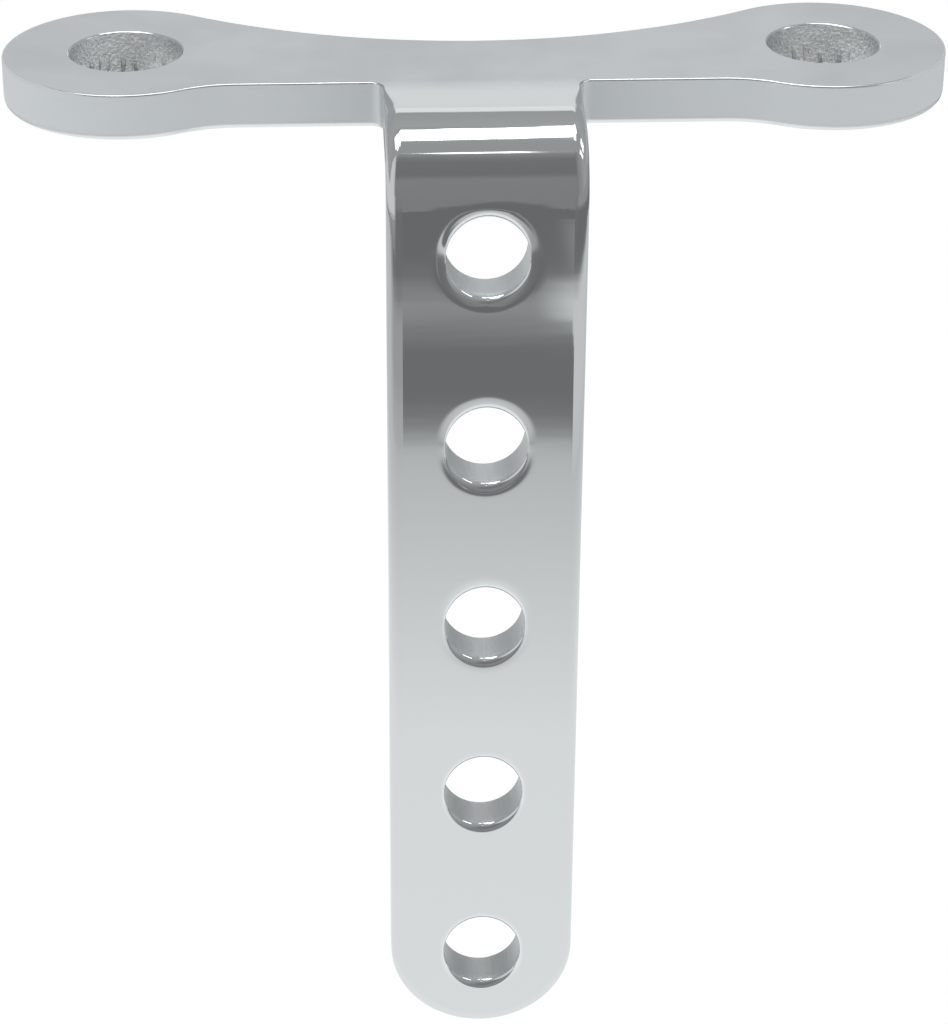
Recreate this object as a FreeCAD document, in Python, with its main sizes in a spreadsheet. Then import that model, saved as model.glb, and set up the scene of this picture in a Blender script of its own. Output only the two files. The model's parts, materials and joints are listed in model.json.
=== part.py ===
import FreeCAD, Part
import math
import os
import Sketcher
from FreeCAD import Placement, Rotation, Vector

# Headlight mounting bracket: one polished metal plate, bent once.
# The flat crossbar lies under two handlebar riser bolts and the leg hangs in
# front of it, with a row of holes for the headlight's own bolt.
# Frame: X to the right, Y to the rear, Z up. The origin is midway between the
# two riser holes, on the underside of the crossbar.

# Driving dimensions in millimetres: alias, value, what it measures
SIZES = [
    ("plate_thickness", 5.9, "thickness of the plate everywhere"),
    ("riser_spacing", 88.9, "centre distance of the two riser holes"),
    ("riser_hole_diameter", 14.3, "hole for a riser bolt"),
    ("lobe_radius", 15.6, "round end of the crossbar, about the riser hole"),
    ("waist_rear", 2.6, "rear edge behind the hole line, at mid length"),
    ("crossbar_front", 12.1, "straight front edge ahead of the hole line"),
    ("front_blend_radius", 15.0, "hollow curve from front edge to round end"),
    ("corner_radius", 1.6, "inner corner between crossbar and leg"),
    ("leg_width", 24.6, "width of the leg"),
    ("leg_reach", 30.3, "front face of the leg ahead of the hole line"),
    ("bend_inner_radius", 4.0, "inside radius of the bend"),
    ("leg_hole_diameter", 10.4, "straight bore of a leg hole"),
    ("leg_hole_count", 5, "number of leg holes"),
    ("leg_hole_pitch", 25.75, "centre distance of the leg holes"),
    ("first_hole_drop", 16.0, "first leg hole below the top of the crossbar"),
    ("hole_lip_radius", 0.8, "buffed round at the front rim of a leg hole"),
    ("hole_rear_break", 0.3, "chamfer on the rear rim of a leg hole"),
    ("face_edge_radius", 1.6, "buffed round along the front edges of the leg"),
    ("rim_edge_radius", 0.35, "light round along the top edges of the crossbar"),
    ("under_edge_break", 0.4, "chamfer along the edges underneath and behind"),
]

# Two lengths count as equal, when edges are sorted, within this many millimetres
TOLERANCE = 1e-4

# A sketch numbers the points of an element and its own two axes like this
START, END, CENTRE = 1, 2, 3
X_AXIS, Y_AXIS = -1, -2


def make_sheet(doc):
    sheet = doc.addObject("Spreadsheet::Sheet", "Sizes")
    for row, (alias, value, note) in enumerate(SIZES, start=1):
        sheet.set(f"A{row}", note)
        sheet.set(f"B{row}", str(value))
        sheet.setAlias(f"B{row}", alias)
    doc.recompute()
    return sheet


def origin_plane(body, role):
    for feature in body.Origin.OriginFeatures:
        if feature.Role == role:
            return feature
    raise RuntimeError(f"the body has no {role}")


def new_sketch(body, name, role):
    sketch = body.newObject("Sketcher::SketchObject", name)
    sketch.AttachmentSupport = [(origin_plane(body, role), "")]
    sketch.MapMode = "FlatFace"
    return sketch


def arc(centre, radius, start, end):
    # Counterclockwise arc between two angles in radians
    circle = Part.Circle(Vector(centre[0], centre[1], 0), Vector(0, 0, 1), radius)
    return Part.ArcOfCircle(circle, start, end)


def line(start, end):
    return Part.LineSegment(Vector(start[0], start[1], 0), Vector(end[0], end[1], 0))


def bind(sketch, constraint, name, expression):
    # A named dimension of the sketch that follows the sheet
    index = sketch.addConstraint(constraint)
    sketch.renameConstraint(index, name)
    sketch.setExpression(f"Constraints.{name}", expression)


def close_loop(sketch, joints):
    # Joins the end of one element to the start of the next
    for kind, first, first_end, second, second_end in joints:
        sketch.addConstraint(Sketcher.Constraint(kind, first, first_end, second, second_end))


def crossbar_outline(body, sheet):
    # Two round ends joined by one long hollow curve at the rear. In front, a
    # straight edge blends into each end, and the tab of the leg runs out from it.
    sketch = new_sketch(body, "crossbar_outline", "XY_Plane")
    half_span = sheet.riser_spacing / 2
    lobe = sheet.lobe_radius
    rear = ((sheet.waist_rear**2 + half_span**2 - lobe**2)
            / (2 * (lobe - sheet.waist_rear)))
    rear_centre = sheet.waist_rear + rear
    blend = sheet.front_blend_radius
    front = sheet.crossbar_front
    blend_x = half_span - math.sqrt((blend + lobe)**2 - (blend + front)**2)
    corner = sheet.corner_radius
    half_leg = sheet.leg_width / 2
    bend_start = sheet.leg_reach - sheet.bend_inner_radius - sheet.plate_thickness

    rear_angle = math.atan2(rear_centre, half_span)
    front_angle = math.atan2(front + blend, half_span - blend_x)
    up = math.pi / 2
    full = 2 * math.pi
    outline = [
        arc((0, rear_centre), rear, math.pi + rear_angle, full - rear_angle),
        arc((half_span, 0), lobe, math.pi + front_angle, full + math.pi - rear_angle),
        arc((blend_x, -front - blend), blend, front_angle, up),
        line((blend_x, -front), (half_leg + corner, -front)),
        arc((half_leg + corner, -front - corner), corner, up, math.pi),
        line((half_leg, -front - corner), (half_leg, -bend_start)),
        line((half_leg, -bend_start), (-half_leg, -bend_start)),
        line((-half_leg, -bend_start), (-half_leg, -front - corner)),
        arc((-half_leg - corner, -front - corner), corner, 0, up),
        line((-half_leg - corner, -front), (-blend_x, -front)),
        arc((-blend_x, -front - blend), blend, up, math.pi - front_angle),
        arc((-half_span, 0), lobe, rear_angle, full - front_angle),
    ]
    (rear_arc, right_lobe, right_blend, right_front, right_corner, right_side, tab_end,
     left_side, left_corner, left_front, left_blend, left_lobe) = sketch.addGeometry(outline)
    waist = sketch.addGeometry(Part.Point(Vector(0, sheet.waist_rear, 0)), True)

    close_loop(sketch, [
        ("Tangent", rear_arc, END, right_lobe, END),
        ("Tangent", right_lobe, START, right_blend, START),
        ("Tangent", right_blend, END, right_front, START),
        ("Tangent", right_front, END, right_corner, START),
        ("Tangent", right_corner, END, right_side, START),
        ("Coincident", right_side, END, tab_end, START),
        ("Coincident", tab_end, END, left_side, START),
        ("Tangent", left_side, END, left_corner, START),
        ("Tangent", left_corner, END, left_front, START),
        ("Tangent", left_front, END, left_blend, START),
        ("Tangent", left_blend, END, left_lobe, END),
        ("Tangent", left_lobe, START, rear_arc, START),
    ])

    sketch.addConstraint(Sketcher.Constraint("PointOnObject", right_lobe, CENTRE, X_AXIS))
    sketch.addConstraint(Sketcher.Constraint(
        "Symmetric", left_lobe, CENTRE, right_lobe, CENTRE, Y_AXIS))
    bind(sketch, Sketcher.Constraint("DistanceX", left_lobe, CENTRE, right_lobe, CENTRE,
                                     2 * half_span), "span", "Sizes.riser_spacing")
    bind(sketch, Sketcher.Constraint("Radius", right_lobe, lobe), "lobe", "Sizes.lobe_radius")
    sketch.addConstraint(Sketcher.Constraint("Equal", right_lobe, left_lobe))

    sketch.addConstraint(Sketcher.Constraint("PointOnObject", waist, START, rear_arc))
    sketch.addConstraint(Sketcher.Constraint("PointOnObject", waist, START, Y_AXIS))
    bind(sketch, Sketcher.Constraint("DistanceY", X_AXIS, START, waist, START,
                                     sheet.waist_rear), "waist", "Sizes.waist_rear")

    for level in (right_front, left_front, tab_end):
        sketch.addConstraint(Sketcher.Constraint("Horizontal", level))
    for side in (right_side, left_side):
        sketch.addConstraint(Sketcher.Constraint("Vertical", side))
    bind(sketch, Sketcher.Constraint("DistanceY", right_front, END, X_AXIS, START, front),
         "front", "Sizes.crossbar_front")
    sketch.addConstraint(Sketcher.Constraint(
        "Symmetric", left_front, START, right_front, END, Y_AXIS))
    bind(sketch, Sketcher.Constraint("Radius", right_blend, blend),
         "blend", "Sizes.front_blend_radius")
    sketch.addConstraint(Sketcher.Constraint("Equal", right_blend, left_blend))
    bind(sketch, Sketcher.Constraint("Radius", right_corner, corner),
         "corner", "Sizes.corner_radius")
    sketch.addConstraint(Sketcher.Constraint("Equal", right_corner, left_corner))
    bind(sketch, Sketcher.Constraint("DistanceX", left_side, START, right_side, END,
                                     2 * half_leg), "width", "Sizes.leg_width")
    bind(sketch, Sketcher.Constraint("DistanceY", right_side, END, X_AXIS, START, bend_start),
         "tab", "Sizes.leg_reach - Sizes.bend_inner_radius - Sizes.plate_thickness")
    return sketch


def bend_section(body, sheet):
    # Quarter ring in side view, from the flat crossbar down to the upright leg
    sketch = new_sketch(body, "bend_section", "YZ_Plane")
    inner = sheet.bend_inner_radius
    outer = inner + sheet.plate_thickness
    middle = (outer - sheet.leg_reach, -inner)
    quarter = math.pi / 2
    inner_arc, top, outer_arc, foot = sketch.addGeometry([
        arc(middle, inner, quarter, math.pi),
        line((middle[0], 0), (middle[0], outer - inner)),
        arc(middle, outer, quarter, math.pi),
        line((-sheet.leg_reach, -inner), (middle[0] - inner, -inner)),
    ])
    close_loop(sketch, [
        ("Coincident", inner_arc, START, top, START),
        ("Coincident", top, END, outer_arc, START),
        ("Coincident", outer_arc, END, foot, START),
        ("Coincident", foot, END, inner_arc, END),
        ("Coincident", inner_arc, CENTRE, outer_arc, CENTRE),
    ])
    sketch.addConstraint(Sketcher.Constraint("Vertical", top))
    sketch.addConstraint(Sketcher.Constraint("Horizontal", foot))
    sketch.addConstraint(Sketcher.Constraint("PointOnObject", top, START, X_AXIS))
    sketch.addConstraint(Sketcher.Constraint("PointOnObject", inner_arc, CENTRE, top))
    sketch.addConstraint(Sketcher.Constraint("PointOnObject", inner_arc, CENTRE, foot))
    bind(sketch, Sketcher.Constraint("Radius", inner_arc, inner),
         "inside", "Sizes.bend_inner_radius")
    bind(sketch, Sketcher.Constraint("DistanceY", top, START, top, END, outer - inner),
         "thickness", "Sizes.plate_thickness")
    bind(sketch, Sketcher.Constraint("DistanceX", outer_arc, END, X_AXIS, START,
                                     sheet.leg_reach), "reach", "Sizes.leg_reach")
    return sketch


def leg_outline(body, sheet):
    # Front view of the leg: straight sides and a full round about the last hole
    sketch = new_sketch(body, "leg_outline", "XZ_Plane")
    sketch.AttachmentOffset = Placement(Vector(0, 0, sheet.leg_reach), Rotation())
    sketch.setExpression("AttachmentOffset.Base.z", "Sizes.leg_reach")
    half = sheet.leg_width / 2
    top = -sheet.bend_inner_radius
    last = (sheet.plate_thickness - sheet.first_hole_drop
            - (sheet.leg_hole_count - 1) * sheet.leg_hole_pitch)
    left, foot, right, head = sketch.addGeometry([
        line((-half, top), (-half, last)),
        arc((0, last), half, math.pi, 2 * math.pi),
        line((half, last), (half, top)),
        line((half, top), (-half, top)),
    ])
    close_loop(sketch, [
        ("Tangent", left, END, foot, START),
        ("Tangent", foot, END, right, START),
        ("Coincident", right, END, head, START),
        ("Coincident", head, END, left, START),
    ])
    for side in (left, right):
        sketch.addConstraint(Sketcher.Constraint("Vertical", side))
    sketch.addConstraint(Sketcher.Constraint("Horizontal", head))
    sketch.addConstraint(Sketcher.Constraint("PointOnObject", foot, CENTRE, Y_AXIS))
    bind(sketch, Sketcher.Constraint("DistanceX", head, END, head, START, 2 * half),
         "width", "Sizes.leg_width")
    bind(sketch, Sketcher.Constraint("DistanceY", head, END, X_AXIS, START, -top),
         "top", "Sizes.bend_inner_radius")
    bind(sketch, Sketcher.Constraint("DistanceY", foot, CENTRE, X_AXIS, START, -last),
         "last_hole", "Sizes.first_hole_drop - Sizes.plate_thickness"
         " + (Sizes.leg_hole_count - 1) * Sizes.leg_hole_pitch")
    return sketch


def hole_section(body, sheet):
    # Half section of the topmost leg hole: a straight bore that opens with a
    # rounded lip at the front and a small chamfer at the rear
    sketch = new_sketch(body, "leg_hole_section", "YZ_Plane")
    front = -sheet.leg_reach
    rear = front + sheet.plate_thickness
    level = sheet.plate_thickness - sheet.first_hole_drop
    wall = level + sheet.leg_hole_diameter / 2
    lip = sheet.hole_lip_radius
    rim = sheet.hole_rear_break
    up = math.pi / 2
    axis, front_face, lip_arc, bore, chamfer, rear_face = sketch.addGeometry([
        line((rear, level), (front, level)),
        line((front, level), (front, wall + lip)),
        arc((front + lip, wall + lip), lip, math.pi, 3 * up),
        line((front + lip, wall), (rear - rim, wall)),
        line((rear - rim, wall), (rear, wall + rim)),
        line((rear, wall + rim), (rear, level)),
    ])
    close_loop(sketch, [
        ("Coincident", axis, END, front_face, START),
        ("Coincident", front_face, END, lip_arc, START),
        ("Tangent", lip_arc, END, bore, START),
        ("Coincident", bore, END, chamfer, START),
        ("Coincident", chamfer, END, rear_face, START),
        ("Coincident", rear_face, END, axis, START),
    ])
    for level_line in (axis, bore):
        sketch.addConstraint(Sketcher.Constraint("Horizontal", level_line))
    for upright in (front_face, rear_face):
        sketch.addConstraint(Sketcher.Constraint("Vertical", upright))
    bind(sketch, Sketcher.Constraint("Radius", lip_arc, lip), "lip", "Sizes.hole_lip_radius")
    bind(sketch, Sketcher.Constraint("DistanceX", chamfer, START, chamfer, END, rim),
         "rim", "Sizes.hole_rear_break")
    bind(sketch, Sketcher.Constraint("DistanceY", lip_arc, END, lip_arc, START, lip),
         "lip_height", "Sizes.hole_lip_radius")
    bind(sketch, Sketcher.Constraint("DistanceY", chamfer, START, chamfer, END, rim),
         "rim_height", "Sizes.hole_rear_break")
    bind(sketch, Sketcher.Constraint("DistanceY", axis, END, bore, START, wall - level),
         "bore", "Sizes.leg_hole_diameter / 2")
    bind(sketch, Sketcher.Constraint("DistanceX", front_face, START, X_AXIS, START, -front),
         "reach", "Sizes.leg_reach")
    bind(sketch, Sketcher.Constraint("DistanceX", axis, END, axis, START, rear - front),
         "thickness", "Sizes.plate_thickness")
    bind(sketch, Sketcher.Constraint("DistanceY", axis, END, X_AXIS, START, -level),
         "drop", "Sizes.first_hole_drop - Sizes.plate_thickness")
    return sketch


def riser_centres(body, sheet):
    sketch = new_sketch(body, "riser_centres", "XY_Plane")
    half_span = sheet.riser_spacing / 2
    radius = sheet.riser_hole_diameter / 2
    left, right = sketch.addGeometry([
        Part.Circle(Vector(-half_span, 0, 0), Vector(0, 0, 1), radius),
        Part.Circle(Vector(half_span, 0, 0), Vector(0, 0, 1), radius),
    ])
    sketch.addConstraint(Sketcher.Constraint("PointOnObject", right, CENTRE, X_AXIS))
    sketch.addConstraint(Sketcher.Constraint("Symmetric", left, CENTRE, right, CENTRE, Y_AXIS))
    sketch.addConstraint(Sketcher.Constraint("Equal", left, right))
    bind(sketch, Sketcher.Constraint("DistanceX", left, CENTRE, right, CENTRE, 2 * half_span),
         "span", "Sizes.riser_spacing")
    bind(sketch, Sketcher.Constraint("Diameter", right, 2 * radius),
         "bore", "Sizes.riser_hole_diameter")
    return sketch


def plate_body(doc, sheet):
    body = doc.addObject("PartDesign::Body", "bent_plate")

    crossbar = body.newObject("PartDesign::Pad", "crossbar")
    crossbar.Profile = crossbar_outline(body, sheet)
    crossbar.setExpression("Length", "Sizes.plate_thickness")

    bend = body.newObject("PartDesign::Pad", "bend")
    bend.Profile = bend_section(body, sheet)
    bend.SideType = "Symmetric"
    bend.setExpression("Length", "Sizes.leg_width")

    leg = body.newObject("PartDesign::Pad", "leg")
    leg.Profile = leg_outline(body, sheet)
    leg.Reversed = True
    leg.setExpression("Length", "Sizes.plate_thickness")

    riser_holes = body.newObject("PartDesign::Hole", "riser_holes")
    riser_holes.Profile = riser_centres(body, sheet)
    doc.recompute()
    riser_holes.DepthType = "ThroughAll"
    riser_holes.Reversed = True
    riser_holes.setExpression("Diameter", "Sizes.riser_hole_diameter")

    section = hole_section(body, sheet)
    leg_hole = body.newObject("PartDesign::Groove", "leg_hole")
    leg_hole.Profile = section
    leg_hole.ReferenceAxis = (section, ["Edge1"])
    leg_hole.Angle = 360
    doc.recompute()

    leg_holes = body.newObject("PartDesign::LinearPattern", "leg_holes")
    leg_holes.Originals = [leg_hole]
    leg_holes.Direction = (origin_plane(body, "Z_Axis"), [""])
    leg_holes.Reversed = True
    leg_holes.setExpression("Length", "(Sizes.leg_hole_count - 1) * Sizes.leg_hole_pitch")
    leg_holes.setExpression("Occurrences", "Sizes.leg_hole_count")
    body.Tip = leg_holes
    doc.recompute()

    under_edges = outline_edges(body.Shape, sheet, sheet.plate_thickness)
    under_break = body.newObject("PartDesign::Chamfer", "under_break")
    under_break.Base = (leg_holes, [f"Edge{index}" for index, points in under_edges])
    under_break.setExpression("Size", "Sizes.under_edge_break")
    body.Tip = under_break
    doc.recompute()
    return body


def skin_gap(point, sheet, depth):
    # Distance of a point from the skin that lies this deep below the outer one
    outer = sheet.bend_inner_radius + sheet.plate_thickness
    bend_y = outer - sheet.leg_reach
    bend_z = -sheet.bend_inner_radius
    if point.y >= bend_y:
        return abs(point.z - (sheet.plate_thickness - depth))
    if point.z <= bend_z:
        return abs(point.y - (depth - sheet.leg_reach))
    return abs(math.hypot(point.y - bend_y, point.z - bend_z) - (outer - depth))


def outline_edges(shape, sheet, depth):
    # Edges round the outside of the plate on one of its two skins, without the
    # hole rims and without the seams that cross the plate at the bend
    bend_y = sheet.bend_inner_radius + sheet.plate_thickness - sheet.leg_reach
    found = []
    for index, edge in enumerate(shape.Edges, start=1):
        if len(edge.Vertexes) < 2:
            continue
        first, last = edge.ParameterRange
        points = [edge.valueAt(first + (last - first) * part) for part in (0, 0.3, 0.5, 0.8, 1)]
        if max(skin_gap(point, sheet, depth) for point in points) > TOLERANCE:
            continue
        crosses = abs(points[0].x - points[-1].x) > TOLERANCE
        behind_bend = max(point.y for point in points) <= bend_y + TOLERANCE
        level = abs(points[0].z - points[2].z) < TOLERANCE
        if crosses and behind_bend and level:
            continue
        found.append((index, points))
    return found


def outer_radii(points, sheet):
    # Light rounding on the crossbar that grows along the tab into the wide,
    # buffed rounding of the bend and the leg
    light, wide = sheet.rim_edge_radius, sheet.face_edge_radius
    if max(abs(point.x) for point in points) > sheet.leg_width / 2 + TOLERANCE:
        return light, light
    bend_y = sheet.bend_inner_radius + sheet.plate_thickness - sheet.leg_reach
    if max(point.y for point in points) <= bend_y + TOLERANCE:
        return wide, wide
    if points[0].y > points[-1].y:
        return light, wide
    return wide, light


def rounded_plate(doc, body, sheet):
    rounded = doc.addObject("Part::Fillet", "bracket")
    rounded.Base = body
    rounded.Edges = [(index, *outer_radii(points, sheet))
                     for index, points in outline_edges(body.Shape, sheet, 0)]
    rounded.Label = "bracket"
    doc.recompute()
    return rounded


def check_document(doc):
    for item in doc.Objects:
        if {"Invalid", "Error"} & set(item.State):
            raise RuntimeError(f"{item.Name} failed to recompute: {item.State}")


def check_piece(piece):
    shape = piece.Shape
    if shape.isNull() or not shape.isValid():
        raise RuntimeError(f"{piece.Label} has no valid shape")
    if len(shape.Solids) != 1:
        raise RuntimeError(f"{piece.Label} is {len(shape.Solids)} solids, not one")


def main():
    doc = FreeCAD.newDocument("headlight_bracket")
    sheet = make_sheet(doc)
    body = plate_body(doc, sheet)
    bracket = rounded_plate(doc, body, sheet)
    check_document(doc)
    check_piece(bracket)
    os.makedirs("parts", exist_ok=True)
    bracket.Shape.exportStep(f"parts/{bracket.Label}.step")
    box = bracket.Shape.BoundBox
    print("volume", round(bracket.Shape.Volume, 1), "faces", len(bracket.Shape.Faces))
    print("box", [round(value, 3) for value in
                  (box.XMin, box.XMax, box.YMin, box.YMax, box.ZMin, box.ZMax)])


main()
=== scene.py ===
import json
import math

import bpy
from mathutils import Matrix, Vector
from mathutils.geometry import delaunay_2d_cdt


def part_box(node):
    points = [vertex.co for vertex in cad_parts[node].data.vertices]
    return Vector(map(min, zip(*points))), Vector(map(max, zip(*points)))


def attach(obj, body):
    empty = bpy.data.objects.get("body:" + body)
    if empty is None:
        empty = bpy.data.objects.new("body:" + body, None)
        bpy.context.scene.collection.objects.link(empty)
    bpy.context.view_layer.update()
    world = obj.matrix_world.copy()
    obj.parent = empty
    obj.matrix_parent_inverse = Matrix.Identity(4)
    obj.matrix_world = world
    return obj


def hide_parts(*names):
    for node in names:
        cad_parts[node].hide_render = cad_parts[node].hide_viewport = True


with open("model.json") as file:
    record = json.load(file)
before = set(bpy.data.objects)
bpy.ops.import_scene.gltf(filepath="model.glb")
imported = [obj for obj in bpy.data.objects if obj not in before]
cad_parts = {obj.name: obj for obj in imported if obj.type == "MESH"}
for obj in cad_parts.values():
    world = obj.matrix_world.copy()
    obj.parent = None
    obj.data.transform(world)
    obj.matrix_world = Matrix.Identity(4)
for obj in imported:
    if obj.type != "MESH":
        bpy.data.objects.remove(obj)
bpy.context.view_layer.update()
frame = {"record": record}
print("frame loaded")

mm = 0.001
low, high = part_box("bracket")
mounts = {mount["name"]: mount for mount in frame["record"]["mounts"]}
riserBolts = mounts["riser_bolts"]["dims"]
legBores = [mounts[name] for name in sorted(mounts) if name.startswith("leg_hole_")]

# The plate is first laid out flat, top side up, then folded down at the bend
plate = {
    "thickness": high.z,
    "halfSpan": riserBolts["spacing_x_mm"] / 2 * mm,
    "riserBore": riserBolts["hole_r_mm"] * mm,
    "lobe": high.y,                  # round end about its riser hole
    "waistRear": 2.6 * mm,
    "front": 12.1 * mm,
    "blend": 15 * mm,                # hollow between front edge and round end
    "corner": 1.6 * mm,
    "halfLeg": 12.3 * mm,
    "reach": -low.y,
    "innerBend": 4 * mm,
    "rim": 0.35 * mm,                # light rounding of the crossbar's top edges
    "buffReach": 1.85 * mm,          # wide rounding of the leg: how far it comes in
    "buffDrop": 1.65 * mm,           # and how deep it goes
    "underEdge": 0.4 * mm,           # rounding underneath: how far in,
    "underDrop": 0.9 * mm,           # and how high up the crossbar's sides
    "hold": 0.02 * mm,               # narrow flat strip that keeps a flat face flat
    "weld": 0.002 * mm,              # points nearer than this are one
}

# One leg hole with its share of the plate round it
legHole = {
    "bore": legBores[0]["dims"]["r_mm"] * mm,
    "lipSide": 0.15 * mm,            # buffed lip: how far out it reaches beside the bore,
    "lipAbove": 1.0 * mm,            # above it
    "lipBelow": 1.15 * mm,           # and below it, where the wheel bit most
    "lipTilt": math.radians(70),     # steepest slope, where the lip meets the bore
    "bowSide": 1.8,                  # how late it gets steep: beside the bore,
    "bowAbove": 1.0,
    "bowBelow": 0.6,
    "lipSteps": 14,
    "lipHighlightFade": 0.3 * mm,             # how far beyond the lip its painted highlight fades
    "rearBreak": 0.3 * mm,
    "dishReach": 1.15 * mm,          # shallow dish that the buffing wheel leaves round it
    "dishDepth": 0.036 * mm,
    "dishBow": 2.6,
    "firstReach": 2.0 * mm,          # the first hole, next to the bend, is dished more
    "firstDepth": 0.1 * mm,
    "firstBow": 2.0,
    "pitch": legBores[0]["pos_m"][2] - legBores[1]["pos_m"][2],
    "count": len(legBores),
    "acrossSteps": 20,
    "downSteps": 26,
    "borderSteps": 10, "dishSteps": 9, "boreSteps": 5, "breakSteps": 3, "behindSteps": 8,
}

riserHole = {
    "rimReach": 0.2 * mm,            # deburred upper rim
    "rimDrop": 0.18 * mm,
    "rimBow": 0.4,                   # 0 is a straight slope, 1 a hollow one
    "rimSteps": 5,
    "wallSteps": 8,
    "underBreak": 0.3 * mm,
    "underSteps": 4,
    "steps": 96,
}

# How finely the outline's runs and the plate's edges are divided
division = {
    "rear": 18, "lobe": 84, "blend": 14, "front": 7, "corner": 10, "tab": 12, "bend": 48, "end": 44,
    "topEdge": 24, "side": 4, "underEdge": 6,
}

# The even grid of triangles that fills the crossbar's flat sides
grid = {
    "spacing": 2.2 * mm,
    "rowHeight": 0.87,               # in spacings, like the next one
    "clear": 0.6,                    # what the grid keeps from every border
    "rows": (-12, 10),
    "columns": (-28, 29),
}

# Where each finish, and the painted highlight, lies on the plate, before it is folded
masks = {
    "legMargin": 0.4 * mm,           # beside the leg, still counted as the leg
    "barMargin": 0.3 * mm,           # ahead of the crossbar, still counted as the crossbar
    "edgeSpare": 1.03,               # an edge's finish goes a little beyond its own height
    "mirrorFrom": 11.5 * mm,         # satin turns to mirror along the tab, ahead of the risers
    "mirrorOver": 4.5 * mm,
    "mirrorRiserRim": 0.9,           # how far the rims and edges have gone to mirror
    "mirrorTopEdge": 0.35,
    "mirrorLowEdge": 0.7,
    "cutFrom": 11 * mm,              # the matte sides end along the tab
    "cutOver": 3.5 * mm,
    "cutEndFrom": 4 * mm,            # beyond the riser holes they reach into the top edge
    "cutEndOver": 6 * mm,
    "cutRim": 0.65,
    "cutRimGain": 0.6,
    "cutLow": 0.5,                   # share of the lower edge that stays free of matte
    # painted highlight: how much the crossbar's top and lower edges are lightened, and how near a leg hole
    # it stops
    "topEdgeHighlight": 0.6,
    "lowEdgeHighlight": 0.8,
    "highlightClear": 1 * mm,           # no nearer to a leg hole than this
}

outerBend = plate["innerBend"] + plate["thickness"]
bendStart = outerBend - plate["reach"]
foldLength = outerBend * math.pi / 2
firstHole = bendStart - foldLength + plate["innerBend"] + legBores[0]["pos_m"][2]
cellTop = firstHole + legHole["pitch"] / 2
lastHole = firstHole - (legHole["count"] - 1) * legHole["pitch"]
tabStart = -plate["front"] - plate["corner"]
riserTurns = [2 * math.pi * k / riserHole["steps"] for k in range(riserHole["steps"])]

plateZone, riserZone, legZone = 0, 1, 2       # which finish a face gets


def smooth(value):
    value = min(max(value, 0), 1)
    return value * value * (3 - 2 * value)


def arcRun(cx, cy, radius, start, end, steps, side):
    # points of an arc with the direction that leads out of the plate
    run = []
    for k in range(steps + 1):
        angle = start + (end - start) * k / steps
        run.append((cx + radius * math.cos(angle), cy + radius * math.sin(angle),
                    side * math.cos(angle), side * math.sin(angle)))
    return run


def straightRun(x0, y0, x1, y1, steps, outX, outY):
    return [(x0 + (x1 - x0) * k / steps, y0 + (y1 - y0) * k / steps, outX, outY)
            for k in range(steps + 1)]


def outlineHalf():
    # right half of the outline, from the middle of the rear edge to the leg's end
    span, lobe, waist = plate["halfSpan"], plate["lobe"], plate["waistRear"]
    front, blend, corner = plate["front"], plate["blend"], plate["corner"]
    halfLeg = plate["halfLeg"]
    rear = (waist ** 2 + span ** 2 - lobe ** 2) / (2 * (lobe - waist))
    rearAngle = math.atan2(waist + rear, span)
    blendX = span - math.sqrt((blend + lobe) ** 2 - (blend + front) ** 2)
    frontAngle = math.atan2(front + blend, span - blendX)
    quarter = math.pi / 2
    down = legHole["downSteps"]
    runs = [
        arcRun(0, waist + rear, rear, -quarter, -rearAngle, division["rear"], -1),
        arcRun(span, 0, lobe, math.pi - rearAngle, frontAngle - math.pi, division["lobe"], 1),
        arcRun(blendX, -front - blend, blend, frontAngle, quarter, division["blend"], -1),
        straightRun(blendX, -front, halfLeg + corner, -front, division["front"], 0, -1),
        arcRun(halfLeg + corner, -front - corner, corner, quarter, math.pi, division["corner"], -1),
        straightRun(halfLeg, tabStart, halfLeg, bendStart, division["tab"], 1, 0),
        straightRun(halfLeg, bendStart, halfLeg, cellTop, division["bend"], 1, 0),
    ]
    for k in range(legHole["count"] - 1):
        top = cellTop - k * legHole["pitch"]
        runs.append(straightRun(halfLeg, top, halfLeg, top - legHole["pitch"], down, 1, 0))
    runs.append(straightRun(halfLeg, lastHole + legHole["pitch"] / 2, halfLeg, lastHole,
                            down // 2, 1, 0))
    runs.append(arcRun(0, lastHole, halfLeg, 0, -quarter, division["end"] // 2, 1))
    points = []
    for run in runs:
        points += run if not points else run[1:]
    return points


def outline():
    right = outlineHalf()
    left = [(-x, y, -outX, outY) for x, y, outX, outY in reversed(right[1:-1])]
    return right + left


def edgeShare(x, y):
    # 0 on the crossbar, growing along the tab to 1 on the bend and the leg
    if abs(x) > plate["halfLeg"] + plate["weld"]:
        return 0
    return smooth((tabStart - y) / (tabStart - bendStart))


def quarterRound(steps):
    # a quarter circle's points, as shares of the radius: how far in, and how far yet to go
    angles = [math.pi / 2 * k / steps for k in range(steps + 1)]
    return [(1 - math.cos(angle), 1 - math.sin(angle)) for angle in angles]


def underHeight(share):
    return plate["underDrop"] + (plate["underEdge"] - plate["underDrop"]) * share


def rimProfile(share):
    # how far in and how deep each ring of the plate's edge lies, top to bottom
    reach = plate["rim"] + (plate["buffReach"] - plate["rim"]) * share
    drop = plate["rim"] + (plate["buffDrop"] - plate["rim"]) * share
    hold, under, thickness = plate["hold"], plate["underEdge"], plate["thickness"]
    height = underHeight(share)
    rings = [(reach + hold, 0)]
    rings += [(reach * rest, drop * inward) for inward, rest in quarterRound(division["topEdge"])]
    sideTop, sideEnd, sides = drop + hold, thickness - height - hold, division["side"]
    rings += [(0, sideTop + (sideEnd - sideTop) * k / sides) for k in range(sides + 1)]
    rings += [(under * inward, thickness - height * rest)
              for inward, rest in quarterRound(division["underEdge"])]
    rings.append((under + hold, thickness))
    return rings


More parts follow.
